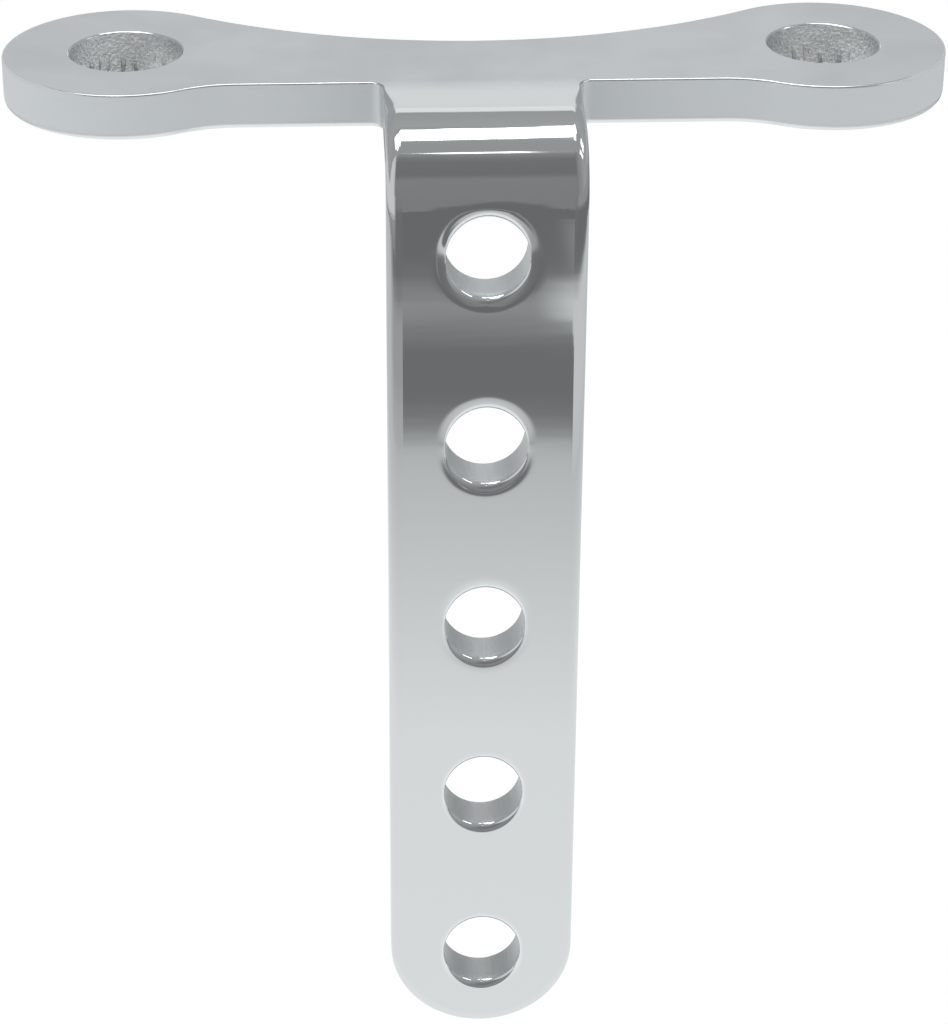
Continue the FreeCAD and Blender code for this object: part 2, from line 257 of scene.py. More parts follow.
class MeshDraft:
    def __init__(self):
        self.verts = []
        self.faces = []
        self.zones = []

    def point(self, x, y, depth):
        self.verts.append((x, y, plate["thickness"] - depth))
        return len(self.verts) - 1

    def face(self, corners, zone=plateZone):
        if len(set(corners)) > 2:
            self.faces.append(corners)
            self.zones.append(zone)

    def bands(self, rings, closed, zones=None):
        # quads between neighbouring rings of equal length
        for r, (upper, lower) in enumerate(zip(rings, rings[1:])):
            count = len(upper)
            for k in range(count if closed else count - 1):
                n = (k + 1) % count
                self.face((upper[k], upper[n], lower[n], lower[k]), zones[r] if zones else plateZone)

    def mesh(self, name, holeCentre, hasBar):
        mesh = bpy.data.meshes.new(name)
        mesh.from_pydata(self.verts, [], self.faces)
        mesh.attributes.new("zone", "INT", "FACE").data.foreach_set("value", self.zones)
        values = {
            "buff": [buffAt(*vert) for vert in self.verts],
            "cut": [cutAt(*vert) for vert in self.verts],
            # the painted highlight's share at each point, kept as the 'bright' attribute
            "bright": [paintedHighlightAt(*vert, holeCentre, hasBar) for vert in self.verts],
        }
        for label, value in values.items():
            mesh.attributes.new(label, "FLOAT", "POINT").data.foreach_set("value", value)
        return mesh


def fromRiser(x, y):
    # distance from the middle of the nearer riser hole
    return math.hypot(abs(x) - plate["halfSpan"], y)


def alongTab(x, y, start, length):
    # 0 on the crossbar, growing along the tab to 1 on the leg
    return smooth((-start - y) / length) if abs(x) < plate["halfLeg"] + masks["legMargin"] else 0


def buffAt(x, y, z):
    # how far the finish has gone from satin, 0, to mirror, 1
    rim = plate["riserBore"] + riserHole["rimReach"] + plate["weld"]
    if fromRiser(x, y) < rim and z > plate["thickness"] / 2:
        return masks["mirrorRiserRim"]
    flat = z > plate["thickness"] - plate["weld"] or z < plate["weld"]
    topEdge = z > plate["thickness"] - masks["edgeSpare"] * plate["rim"] and not flat
    lowEdge = z < masks["edgeSpare"] * underHeight(edgeShare(x, y)) and not flat
    leg = alongTab(x, y, masks["mirrorFrom"], masks["mirrorOver"])
    return max(leg, masks["mirrorTopEdge"] if topEdge else masks["mirrorLowEdge"] if lowEdge else 0)


def cutAt(x, y, z):
    # 1 on the matte sides of the crossbar, fading out round the inner corners
    toEnd = smooth((abs(x) - plate["halfSpan"] - masks["cutEndFrom"]) / masks["cutEndOver"])
    rim = (masks["cutRim"] - masks["cutRimGain"] * toEnd) * plate["rim"]
    if z >= plate["thickness"] - rim:
        return 0
    height = underHeight(edgeShare(x, y))
    fromEdge = smooth((z / height - masks["cutLow"]) / (1 - masks["cutLow"]))
    return (1 - alongTab(x, y, masks["cutFrom"], masks["cutOver"])) * fromEdge


def paintedHighlightAt(x, y, z, holeCentre, hasBar):
    # share of painted highlight: 1 on the leg holes' front lips and just beyond them, and less on the
    # crossbar's edges
    beside = abs(x) > plate["halfLeg"] + masks["legMargin"]
    onBar = hasBar and (beside or y > -plate["front"] - masks["barMargin"])
    lowEdge = plate["weld"] < z < masks["edgeSpare"] * underHeight(edgeShare(x, y))
    y -= holeCentre
    out = math.hypot(x, y) - legHole["bore"]
    if z < plate["thickness"] / 2:
        return masks["lowEdgeHighlight"] if onBar and lowEdge and out > masks["highlightClear"] else 0
    top = plate["thickness"]
    topEdge = onBar and top - masks["edgeSpare"] * plate["rim"] < z < top - plate["weld"]
    lip = smooth(1 - out / (lipReach(math.atan2(y, x)) + legHole["lipHighlightFade"]))
    return max(lip, masks["topEdgeHighlight"] if topEdge else 0)


def acrossLine(half):
    steps = legHole["acrossSteps"]
    return [-half + 2 * half * k / steps for k in range(steps + 1)]


def flatSheet(draft, border, depth, faceUp):
    # one flat side of the crossbar, triangulated evenly round its two riser holes
    rise = riserHole["rimReach"] if faceUp else riserHole["underBreak"]
    radius = plate["riserBore"] + rise + plate["hold"]
    flat = [Vector(point) for point in border]
    edges = [(k, (k + 1) % len(flat)) for k in range(len(flat))]
    for side in (-1, 1):
        first = len(flat)
        flat += [Vector((side * plate["halfSpan"] + radius * math.cos(turn), radius * math.sin(turn)))
                 for turn in riserTurns]
        edges += [(first + k, first + (k + 1) % len(riserTurns)) for k in range(len(riserTurns))]
    spacing = grid["spacing"]
    outer = list(flat[:len(border)])
    for row in range(*grid["rows"]):
        for column in range(*grid["columns"]):
            spot = Vector(((column + 0.5 * (row % 2)) * spacing, row * spacing * grid["rowHeight"]))
            if clearOf(spot, outer, radius, grid["clear"] * spacing):
                flat.append(spot)
    verts, _, faces, *_ = delaunay_2d_cdt(flat, edges, [], 1, 1e-9)
    index = [draft.point(vert.x, vert.y, depth) for vert in verts]
    for face in faces:
        middle = sum((verts[k] for k in face), Vector((0, 0))) / len(face)
        if fromRiser(middle.x, middle.y) < radius:
            continue
        corners = [index[k] for k in face]
        turned = (verts[face[1]] - verts[face[0]]).cross(verts[face[2]] - verts[face[0]]) > 0
        draft.face(tuple(corners if turned == faceUp else reversed(corners)))


def clearOf(spot, border, radius, gap):
    # inside the border, and not too near it or a riser hole
    if fromRiser(spot.x, spot.y) < radius + gap:
        return False
    inside = False
    for a, b in zip(border, border[1:] + border[:1]):
        if (a - spot).length < gap:
            return False
        if (a.y > spot.y) != (b.y > spot.y):
            inside ^= spot.x < a.x + (spot.y - a.y) * (b.x - a.x) / (b.y - a.y)
    return inside


def riserBoreWall(draft, side):
    thickness, bore = plate["thickness"], plate["riserBore"]
    rim, drop, bow = riserHole["rimReach"], riserHole["rimDrop"], riserHole["rimBow"]
    wall = riserHole["wallSteps"]
    under, hold = riserHole["underBreak"], plate["hold"]
    rings = [(bore + rim + hold, 0, plateZone)]
    for k in range(riserHole["rimSteps"] + 1):
        share = k / riserHole["rimSteps"]
        fall = drop * ((1 - bow) * share + bow * share ** 2)
        rings.append((bore + rim * (1 - share), fall, plateZone))
    for k in range(wall + 1):
        rings.append((bore, drop + hold + (thickness - drop - under - 2 * hold) * k / wall, riserZone))
    for inward, rest in quarterRound(riserHole["underSteps"]):
        zone = riserZone if rest > 0 else plateZone
        rings.append((bore + under * inward, thickness - under * rest, zone))
    rings.append((bore + under + hold, thickness, plateZone))
    lines = []
    for radius, depth, zone in rings:
        lines.append([draft.point(side * plate["halfSpan"] + radius * math.cos(-turn),
                                  radius * math.sin(-turn), depth) for turn in riserTurns])
    draft.bands([list(reversed(line)) for line in lines], True, [ring[2] for ring in rings[1:]])


def cellBorder(half, roundEnd):
    # border of a hole's share of the plate, anticlockwise from the right side's middle
    down, across = legHole["downSteps"], legHole["acrossSteps"]
    top = legHole["pitch"] / 2
    border = [(half, top * k / (down // 2)) for k in range(down // 2)]
    border += [(half - 2 * half * k / across, top) for k in range(across)]
    border += [(-half, top - top * k / (down // 2)) for k in range(down // 2)]
    if roundEnd:
        for k in range(division["end"]):
            angle = math.pi + math.pi * k / division["end"]
            border.append((half * math.cos(angle), half * math.sin(angle)))
    else:
        border += [(-half, -top * k / (down // 2)) for k in range(down // 2)]
        border += [(-half + 2 * half * k / across, -top) for k in range(across)]
        border += [(half, -top + top * k / (down // 2)) for k in range(down // 2)]
    return border


def lipReach(angle):
    rise = math.sin(angle)
    far = legHole["lipAbove"] if rise > 0 else legHole["lipBelow"]
    return legHole["lipSide"] + (far - legHole["lipSide"]) * abs(rise)


def lipProfile(angle):
    # from the face to the bore, as shares of the reach: how far in and how deep
    crest = legHole["bowAbove"] if angle > 0 else legHole["bowBelow"]
    bow = crest + (legHole["bowSide"] - crest) * math.cos(angle) ** 2
    steps = legHole["lipSteps"]
    run = [(0.0, 0.0)]
    for k in range(steps):
        tilt = legHole["lipTilt"] * ((k + 0.5) / steps) ** bow
        inward, depth = run[-1]
        run.append((inward + math.cos(tilt), depth + math.sin(tilt)))
    full = run[-1][0]
    return [(inward / full, depth / full) for inward, depth in run]


def holeCell(draft, centre, roundEnd):
    topBorder = cellBorder(plate["halfLeg"] - plate["buffReach"] - plate["hold"], roundEnd)
    underBorder = cellBorder(plate["halfLeg"] - plate["underEdge"] - plate["hold"], roundEnd)
    angles = [math.atan2(y, x) for x, y in topBorder]
    lips = [lipReach(angle) for angle in angles]
    profiles = [lipProfile(angle) for angle in angles]
    bore, rear = legHole["bore"], legHole["rearBreak"]
    thickness, hold = plate["thickness"], plate["hold"]
    rings, zones = [], []

    def addRing(out, depth, zone=plateZone, border=None, share=0.0, step=0, deep=1.0):
        # a ring round the hole, some way along the lip from the face to the bore
        ring = []
        for k, angle in enumerate(angles):
            inward, fall = profiles[k][step]
            radius = bore + out + lips[k] * (1 - inward)
            x, y = radius * math.cos(angle), radius * math.sin(angle)
            if border:
                x += (border[k][0] - x) * share
                y += (border[k][1] - y) * share
            ring.append(draft.point(x, centre + y, depth + lips[k] * fall * deep))
        rings.append(ring)
        zones.append(zone)

    dish, steps = legHole["dishReach"], legHole["lipSteps"]
    for k in range(legHole["borderSteps"], 0, -1):
        addRing(dish, 0, border=topBorder, share=k / legHole["borderSteps"])
    for k in range(legHole["dishSteps"]):
        inward = k / legHole["dishSteps"]
        addRing(dish * (1 - inward), legHole["dishDepth"] * inward ** legHole["dishBow"])
    for step in range(steps + 1):
        addRing(0, legHole["dishDepth"], step=step)
    boreEnd = thickness - rear - hold
    for k in range(legHole["boreSteps"] + 1):
        down = k / legHole["boreSteps"]
        depth = (legHole["dishDepth"] + hold) * (1 - down) + boreEnd * down
        addRing(0, depth, legZone, step=steps, deep=1 - down)
    for inward, rest in quarterRound(legHole["breakSteps"]):
        addRing(rear * inward, thickness - rear * rest, step=steps, deep=0)
    for k in range(legHole["behindSteps"] + 1):
        addRing(rear + hold, thickness, border=underBorder, share=k / legHole["behindSteps"],
                step=steps, deep=0)
    draft.bands(rings, True, zones[1:])


def addObject(name, data):
    item = bpy.data.objects.new(name, data)
    bpy.context.scene.collection.objects.link(item)
    return item


def flatPlate():
    draft = MeshDraft()
    samples = outline()
    rings = None
    for x, y, outX, outY in samples:
        profile = rimProfile(edgeShare(x, y))
        column = [draft.point(x - outX * inset, y - outY * inset, depth) for inset, depth in profile]
        rings = rings or [[] for _ in column]
        for ring, point in zip(rings, column):
            ring.append(point)
    draft.bands(rings, True)

    for ring, depth, faceUp in ((rings[0], 0, True), (rings[-1], plate["thickness"], False)):
        inner = [draft.verts[point] for point in ring]
        border = [(x, y) for x, y, z in inner if y > bendStart - plate["weld"]]
        half = abs(min(inner, key=lambda point: abs(point[1] - bendStart))[0])
        across = acrossLine(half)
        split = next(k for k, (x, y) in enumerate(border)
                     if abs(y - bendStart) < plate["weld"] and x > 0)
        border[split + 1:split + 1] = [(x, bendStart) for x in reversed(across[1:-1])]
        flatSheet(draft, border, depth, faceUp)
        rows = []
        for k in range(division["bend"] + 1):
            y = bendStart + (cellTop - bendStart) * k / division["bend"]
            rows.append([draft.point(x, y, depth) for x in (across if faceUp else reversed(across))])
        draft.bands([list(reversed(row)) for row in rows], False)

    for side in (-1, 1):
        riserBoreWall(draft, side)
    holeCell(draft, lastHole, True)
    return draft.mesh("flatPlate", lastHole, True)


def cellMesh():
    draft = MeshDraft()
    holeCell(draft, 0, False)
    mesh = draft.mesh("holeCell", 0, False)
    for label, value in (("buff", 1.0), ("cut", 0.0)):
        mesh.attributes[label].data.foreach_set("value", [value] * len(mesh.vertices))
    return mesh


class NodeBench:
    # short calls for placing and joining nodes in a tree
    def __init__(self, tree):
        self.tree = tree

    def add(self, kind, inputs=None, **settings):
        node = self.tree.nodes.new(kind)
        for key, value in settings.items():
            setattr(node, key, value)
        for key, value in (inputs or {}).items():
            if isinstance(value, bpy.types.NodeSocket):
                self.tree.links.new(value, node.inputs[key])
            else:
                node.inputs[key].default_value = value
        return node

    def math(self, operation, first, second=0.0, clamp=False):
        return self.add("ShaderNodeMath", {0: first, 1: second}, operation=operation,
                        use_clamp=clamp).outputs[0]

    def times(self, first, second):
        return self.math("MULTIPLY", first, second)

    def plus(self, first, second):
        return self.math("ADD", first, second)

    def less(self, first, second):
        return self.math("SUBTRACT", first, second)

    def split(self, vector):
        return self.add("ShaderNodeSeparateXYZ", {0: vector}).outputs

    def mask(self, name):
        return self.add("ShaderNodeAttribute", attribute_name=name).outputs["Fac"]

    def place(self):
        return self.add("ShaderNodeTexCoord").outputs["Object"]

    def noise(self, vector, scale, detail):
        return self.add("ShaderNodeTexNoise", {
            "Vector": vector, "Scale": scale, "Detail": detail}).outputs[0]

    def fade(self, value, start, end):
        # 0 at the start and 1 at the end
        return self.add("ShaderNodeMapRange", {
            "Value": value, "From Min": start, "From Max": end}).outputs[0]


def foldInputs(cell, finishes):
    # name, kind of socket, value
    return [
        ("Flat Plate", "Geometry", None),
        ("Hole Cell", "Object", cell),
        ("First Hole", "Float", firstHole),
        ("Hole Pitch", "Float", legHole["pitch"]),
        ("Cell Count", "Int", legHole["count"] - 1),
        ("Bend Start", "Float", bendStart),
        ("Inner Radius", "Float", plate["innerBend"]),
        ("Thickness", "Float", plate["thickness"]),
        ("Hole Radius", "Float", legHole["bore"]),
        ("Dish Reach", "Float", legHole["firstReach"]),
        ("Dish Depth", "Float", legHole["firstDepth"]),
        ("Dish Bow", "Float", legHole["firstBow"]),
        ("Weld", "Float", plate["weld"]),
        ("Plate Finish", "Material", finishes["plate"]),
        ("Riser Finish", "Material", finishes["riser"]),
        ("Leg Bore Finish", "Material", finishes["legBore"]),
    ]


def foldTree(inputs):
    tree = bpy.data.node_groups.new("foldPlate", "GeometryNodeTree")
    for name, kind, _ in inputs:
        tree.interface.new_socket(name=name, in_out="INPUT", socket_type="NodeSocket" + kind)
    tree.interface.new_socket(name="Bracket", in_out="OUTPUT", socket_type="NodeSocketGeometry")
    bench = NodeBench(tree)
    given = bench.add("NodeGroupInput").outputs

    cell = bench.add("GeometryNodeObjectInfo", {"Object": given["Hole Cell"]})
    start = bench.add("ShaderNodeCombineXYZ", {"Y": given["First Hole"]})
    step = bench.add("ShaderNodeCombineXYZ", {"Y": bench.times(given["Hole Pitch"], -1.0)})
    line = bench.add("GeometryNodeMeshLine", {
        "Count": given["Cell Count"], "Start Location": start.outputs[0], "Offset": step.outputs[0]})
    row = bench.add("GeometryNodeInstanceOnPoints", {
        "Points": line.outputs[0], "Instance": cell.outputs["Geometry"]})
    real = bench.add("GeometryNodeRealizeInstances", {"Geometry": row.outputs[0]})
    joined = bench.add("GeometryNodeJoinGeometry")
    tree.links.new(given["Flat Plate"], joined.inputs[0])
    tree.links.new(real.outputs[0], joined.inputs[0])
    welded = bench.add("GeometryNodeMergeByDistance", {
        "Geometry": joined.outputs[0], "Distance": given["Weld"]})

    # the first hole's dish sinks the upper half of the plate round it
    position = bench.add("GeometryNodeInputPosition").outputs[0]
    x, y, z = bench.split(position)
    centre = bench.add("ShaderNodeCombineXYZ", {"Y": given["First Hole"], "Z": z})
    away = bench.add("ShaderNodeVectorMath", {0: position, 1: centre.outputs[0]},
                     operation="DISTANCE").outputs["Value"]
    border = bench.plus(given["Hole Radius"], given["Dish Reach"])
    near = bench.math("POWER", bench.fade(away, border, given["Hole Radius"]), given["Dish Bow"])
    upper = bench.math("GREATER_THAN", z, bench.times(given["Thickness"], 0.5))
    sunk = bench.times(bench.times(near, upper), given["Dish Depth"])
    level = bench.less(z, sunk)

    # fold: beyond the bend's start the plate turns about the bend's axis, then hangs straight
    radius = bench.plus(given["Inner Radius"], level)
    outer = bench.plus(given["Inner Radius"], given["Thickness"])
    length = bench.times(outer, math.pi / 2)
    past = bench.less(given["Bend Start"], y)
    share = bench.math("DIVIDE", past, length, clamp=True)
    angle = bench.times(share, math.pi / 2)
    hang = bench.math("MAXIMUM", bench.less(past, length), 0.0)
    flatY = bench.math("MAXIMUM", y, given["Bend Start"])
    turnY = bench.times(radius, bench.math("SINE", angle))
    turnZ = bench.times(radius, bench.math("COSINE", angle))
    height = bench.less(bench.less(turnZ, given["Inner Radius"]), hang)
    folded = bench.add("ShaderNodeCombineXYZ", {"X": x, "Y": bench.less(flatY, turnY), "Z": height})
    bent = bench.add("GeometryNodeSetPosition", {
        "Geometry": welded.outputs[0], "Position": folded.outputs[0]})
    shaded = bench.add("GeometryNodeSetShadeSmooth", {"Geometry": bent.outputs[0]})

    zone = bench.add("GeometryNodeInputNamedAttribute", {"Name": "zone"}, data_type="INT")
    last = shaded.outputs[0]
    for value, finish in ((plateZone, "Plate Finish"), (riserZone, "Riser Finish"),
                          (legZone, "Leg Bore Finish")):
        chosen = bench.add("FunctionNodeCompare", {2: zone.outputs[0], 3: value},
                           data_type="INT", operation="EQUAL")
        last = bench.add("GeometryNodeSetMaterial", {
            "Geometry": last, "Selection": chosen.outputs[0], "Material": given[finish]}).outputs[0]
    result = bench.add("NodeGroupOutput")
    tree.links.new(last, result.inputs[0])
    return tree


def makeBracket(finishes):
    source = addObject("flatPlate", flatPlate())
    cell = addObject("holeCell", cellMesh())
    for item in (source, cell):
        item.data.materials.append(finishes["plate"])
    inputs = foldInputs(cell, finishes)
    fold = source.modifiers.new("fold", "NODES")
    fold.node_group = foldTree(inputs)
    values = {name: value for name, _, value in inputs if value is not None}
    for item in fold.node_group.interface.items_tree:
        if item.item_type == "SOCKET" and item.name in values:
            fold[item.identifier] = values[item.name]
    graph = bpy.context.evaluated_depsgraph_get()
    mesh = bpy.data.meshes.new_from_object(source.evaluated_get(graph))
    mesh.name = "polishedBracket"
    for item in (source, cell):
        bpy.data.objects.remove(item)
    print("bracket made:", len(mesh.polygons), "faces")
    return addObject("polishedBracket", mesh)


def shaderGroup(name, numbers, outputs):
    # an empty shader group with number inputs and outputs, ready for its nodes
    tree = bpy.data.node_groups.new(name, "ShaderNodeTree")
    for label, value in numbers:
        socket = tree.interface.new_socket(name=label, in_out="INPUT", socket_type="NodeSocketFloat")
        socket.default_value = value
    for label in outputs:
        tree.interface.new_socket(name=label, in_out="OUTPUT", socket_type="NodeSocketFloat")
    bench = NodeBench(tree)
    given = bench.add("NodeGroupInput").outputs
    place = bench.place()
    result = bench.add("NodeGroupOutput")
    return tree, bench, given, place, result


def stretched(bench, place, x, y, z):
    return bench.add("ShaderNodeVectorMath", {0: place, 1: (x, y, z)}, operation="MULTIPLY").outputs[0]


def grainGroup():
    # fine even grain of a satin face, with a slow drift in its strength
    tree, bench, given, place, result = shaderGroup(
        "fineGrain", [("Grain Size", 0.3 * mm), ("Drift Size", 12 * mm)], ["Grain", "Drift"])
    fine = bench.noise(place, bench.math("DIVIDE", 1.0, given["Grain Size"]), 3.0)
    slow = bench.noise(place, bench.math("DIVIDE", 1.0, given["Drift Size"]), 2.0)
    tree.links.new(fine, result.inputs["Grain"])
    tree.links.new(slow, result.inputs["Drift"])
    return tree


def waveGroup():
    # faint ripples of the polishing wheel, long across the plate and short along it
    tree, bench, given, place, result = shaderGroup(
        "polishWaves", [("Wave Length", 3 * mm), ("Wave Width", 25 * mm)], ["Waves"])
    across = bench.math("DIVIDE", 1.0, given["Wave Width"])
    along = bench.math("DIVIDE", 1.0, given["Wave Length"])
    scale = bench.add("ShaderNodeCombineXYZ", {"X": across, "Y": along, "Z": along})
    vector = bench.add("ShaderNodeVectorMath", {0: place, 1: scale.outputs[0]}, operation="MULTIPLY")
    tree.links.new(bench.noise(vector.outputs[0], 1.0, 1.5), result.inputs["Waves"])
    return tree


def speckGroup():
    # tiny pits and specks, scattered thinly
    tree, bench, given, place, result = shaderGroup(
        "fineSpecks", [("Spacing", 2.4 * mm), ("Speck Size", 0.08 * mm), ("Core", 0.4), ("Share", 0.2)],
        ["Specks"])
    cells = bench.add("ShaderNodeTexVoronoi", {
        "Vector": place, "Scale": bench.math("DIVIDE", 1.0, given["Spacing"])})
    radius = bench.math("DIVIDE", given["Speck Size"], given["Spacing"])
    core = bench.times(radius, given["Core"])
    dot = bench.fade(cells.outputs["Distance"], radius, core)
    pick = bench.add("ShaderNodeSeparateColor", {0: cells.outputs["Color"]})
    chosen = bench.math("LESS_THAN", pick.outputs[0], given["Share"])
    tree.links.new(bench.times(dot, chosen), result.inputs["Specks"])
    return tree


def mixNumber(bench, share, first, second):
    return bench.add("ShaderNodeMapRange", {
        "Value": share, "To Min": first, "To Max": second}).outputs[0]


def mixColour(bench, share, first, second):
    node = bench.add("ShaderNodeMix", {0: share, 6: first, 7: second}, data_type="RGBA")
    return node.outputs[2]


def metalMaterial(name):
    material = bpy.data.materials.new(name)
    material.use_nodes = True
    bench = NodeBench(material.node_tree)
    shader = material.node_tree.nodes["Principled BSDF"]
    shader.inputs["Metallic"].default_value = 1
    return material, bench, shader


def dress(bench, shader, colour, rough, height, depth):
    bump = bench.add("ShaderNodeBump", {"Height": height, "Distance": depth})
    for name, value in (("Base Color", colour), ("Roughness", rough), ("Normal", bump.outputs[0])):
        bench.tree.links.new(value, shader.inputs[name])


def useGroup(bench, tree, **numbers):
    node = bench.add("ShaderNodeGroup", node_tree=tree)
    for label, value in numbers.items():
        node.inputs[label].default_value = value
    return node.outputs


chrome = {
    "mirrorColour": (0.765, 0.80, 0.81, 1),
    "paintedHighlightColour": (0.90, 0.93, 0.94, 1),   # painted highlight: lighter colour for the hole lips and the crossbar's edges
    "satinDark": (0.565, 0.60, 0.62, 1),
    "satinLight": (0.65, 0.685, 0.705, 1),
    "mirrorRoughness": 0.045,
    "satinRoughness": 0.34,
    "cloudFrom": 0.35,               # drift levels between which the satin goes from dark to light
    "cloudTo": 0.65,
    "roughLeast": 0.85,              # how the drift varies the roughness
    "roughMost": 1.15,
    "cutColour": (0.84, 0.88, 0.90, 1),
    "cutRoughness": 0.75,
    "cutMetal": 0.3,                 # the matte sides scatter light like a fine powder coat
    "speckRoughness": 0.15,
    "grainHeight": 0.5,
    "waveHeight": 0.25,
    "rippleHeight": 0.25,
    "rippleLength": 0.4 * mm,
    "rippleWidth": 10 * mm,
    "rippleFrom": -6.5 * mm,         # ripples fade in up the leg between these heights
    "rippleTo": -2.5 * mm,
    "bumpDepth": 0.02 * mm,
}


def chromeFinish(groups):
    material, bench, shader = metalMaterial("buffedChrome")
    buff = bench.mask("buff")
    grain = useGroup(bench, groups["grain"])
    waves = useGroup(bench, groups["waves"])
    ripples = useGroup(bench, groups["waves"], **{
        "Wave Length": chrome["rippleLength"], "Wave Width": chrome["rippleWidth"]})
    specks = useGroup(bench, groups["specks"])
    cut = bench.mask("cut")
    cloud = bench.fade(grain["Drift"], chrome["cloudFrom"], chrome["cloudTo"])
    satin = mixColour(bench, cloud, chrome["satinDark"], chrome["satinLight"])
    colour = mixColour(bench, buff, satin, chrome["mirrorColour"])
    # painted highlight: the 'bright' attribute lightens the colour on the hole lips and the crossbar's
    # edges
    bright = bench.mask("bright")
    colour = mixColour(bench, bright, colour, chrome["paintedHighlightColour"])
    colour = mixColour(bench, cut, colour, chrome["cutColour"])
    metal = mixNumber(bench, cut, 1.0, chrome["cutMetal"])
    bench.tree.links.new(metal, shader.inputs["Metallic"])
    rough = mixNumber(bench, buff, chrome["satinRoughness"], chrome["mirrorRoughness"])
    rough = mixNumber(bench, cut, rough, chrome["cutRoughness"])
    drift = mixNumber(bench, grain["Drift"], chrome["roughLeast"], chrome["roughMost"])
    rough = bench.times(rough, drift)
    rough = bench.plus(rough, bench.times(specks["Specks"], chrome["speckRoughness"]))
    dull = bench.less(1.0, buff)
    height = bench.times(bench.times(grain["Grain"], dull), chrome["grainHeight"])
    rolled = bench.times(bench.times(waves["Waves"], buff), chrome["waveHeight"])
    height = bench.plus(height, rolled)
    level = bench.split(bench.place())["Z"]
    atBend = bench.fade(level, chrome["rippleFrom"], chrome["rippleTo"])
    rippled = bench.times(bench.times(ripples["Waves"], buff), atBend)
    height = bench.plus(height, bench.times(rippled, chrome["rippleHeight"]))
    dress(bench, shader, colour, rough, height, chrome["bumpDepth"])
    return material


riserWall = {
    "bright": (1.0, 1.0, 1.0, 1),
    "dull": (0.76, 0.80, 0.81, 1),
    "tear": (0.42, 0.45, 0.46, 1),
    "low": 0.2,
    "high": 0.5,
    "depth": 0.2 * mm,
    "grain": 0.42 * mm,
    "grainHeight": 0.6,
    "facet": 0.3 * mm,
    "facetBow": 2.0,                 # most facets are dull and a few bright
    "tearLow": 0.47,                 # noise levels where a tear begins and is full
    "tearHigh": 0.38,
    "tearSink": 0.8,
    "tearWidth": 0.8 * mm,
    "tearHeight": 6 * mm,
    "tearFrom": 3.5 * mm,            # torn marks fade in below this height
    "tearFull": 1.0 * mm,
}


def riserFinish():
    # cast and drilled wall: coarse sparkling grain with torn upright marks
    material, bench, shader = metalMaterial("tornBore")
    place = bench.place()
    coarse = bench.noise(place, 1 / riserWall["grain"], 3.0)
    facets = bench.add("ShaderNodeTexVoronoi", {"Vector": place, "Scale": 1 / riserWall["facet"]})
    facet = bench.add("ShaderNodeSeparateColor", {0: facets.outputs["Color"]}).outputs[0]
    shine = bench.math("POWER", facet, riserWall["facetBow"])
    colour = mixColour(bench, shine, riserWall["dull"], riserWall["bright"])
    wide, tall = 1 / riserWall["tearWidth"], 1 / riserWall["tearHeight"]
    upright = stretched(bench, place, wide, wide, tall)
    torn = bench.noise(upright, 1.0, 2.0)
    level = bench.split(place)["Z"]
    low = bench.fade(level, riserWall["tearFrom"], riserWall["tearFull"])
    deep = bench.fade(torn, riserWall["tearLow"], riserWall["tearHigh"])
    tears = bench.times(deep, low)
    colour = mixColour(bench, tears, colour, riserWall["tear"])
    height = bench.less(bench.times(coarse, riserWall["grainHeight"]),
                        bench.times(tears, riserWall["tearSink"]))
    rough = mixNumber(bench, coarse, riserWall["low"], riserWall["high"])
    dress(bench, shader, colour, rough, height, riserWall["depth"])
    return material


legWall = {
    "topColour": (0.92, 0.95, 0.96, 1),
    "footColour": (0.70, 0.73, 0.74, 1),     # darker towards the lower bores
    "low": 0.48,
    "high": 0.62,
    "depth": 0.04 * mm,
    "markWidth": 0.4 * mm,
    "markLength": 5 * mm,
}


def legBoreFinish():
    # drilled wall: satin, with faint marks along the hole's axis
    material, bench, shader = metalMaterial("drilledBore")
    place = bench.place()
    level = bench.split(place)["Z"]
    sunk = bench.fade(level, legBores[0]["pos_m"][2], legBores[-1]["pos_m"][2])
    colour = mixColour(bench, sunk, legWall["topColour"], legWall["footColour"])
    narrow, long = 1 / legWall["markWidth"], 1 / legWall["markLength"]
    drawn = stretched(bench, place, narrow, long, narrow)
    marks = bench.noise(drawn, 1.0, 2.0)
    rough = mixNumber(bench, marks, legWall["low"], legWall["high"])
    dress(bench, shader, colour, rough, marks, legWall["depth"])
    return material


effects = {"grain": grainGroup(), "waves": waveGroup(), "specks": speckGroup()}
finishes = {
    "plate": chromeFinish(effects),
    "riser": riserFinish(),
    "legBore": legBoreFinish(),
}
print("finishes made")
bracket = makeBracket(finishes)
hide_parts("bracket")
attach(bracket, "root")

# The view: where the camera stands and looks, and its focal length in pixels
view = {
    "azimuth": -3.2,
    "elevation": 28.34,
    "roll": 0.44,
    "distance": 446 * mm,
    "target": Vector((0.18 * mm, 0, -61.35 * mm)),
    "focalPixels": 3253.6,
    "imageHeight": 1024,
    "sensor": 36,
    "nearest": 10 * mm,
}


def makeCamera():
    azimuth, elevation, roll = (math.radians(view[key]) for key in ("azimuth", "elevation", "roll"))
    back = Vector((math.sin(azimuth) * math.cos(elevation), -math.cos(azimuth) * math.cos(elevation),
                   math.sin(elevation)))
    right = (-back).cross(Vector((0, 0, 1))).normalized()
    up = right.cross(-back)
    turnedRight = right * math.cos(roll) + up * math.sin(roll)
    turnedUp = up * math.cos(roll) - right * math.sin(roll)
    lens = bpy.data.cameras.new("viewCamera")
    lens.sensor_width = view["sensor"]
    lens.lens = view["focalPixels"] * lens.sensor_width / view["imageHeight"]
    lens.clip_start = view["nearest"]
    camera = addObject("viewCamera", lens)
    camera.matrix_world = Matrix((turnedRight, turnedUp, back)).transposed().to_4x4()
    camera.location = view["target"] + back * view["distance"]
    bpy.context.scene.camera = camera


makeCamera()

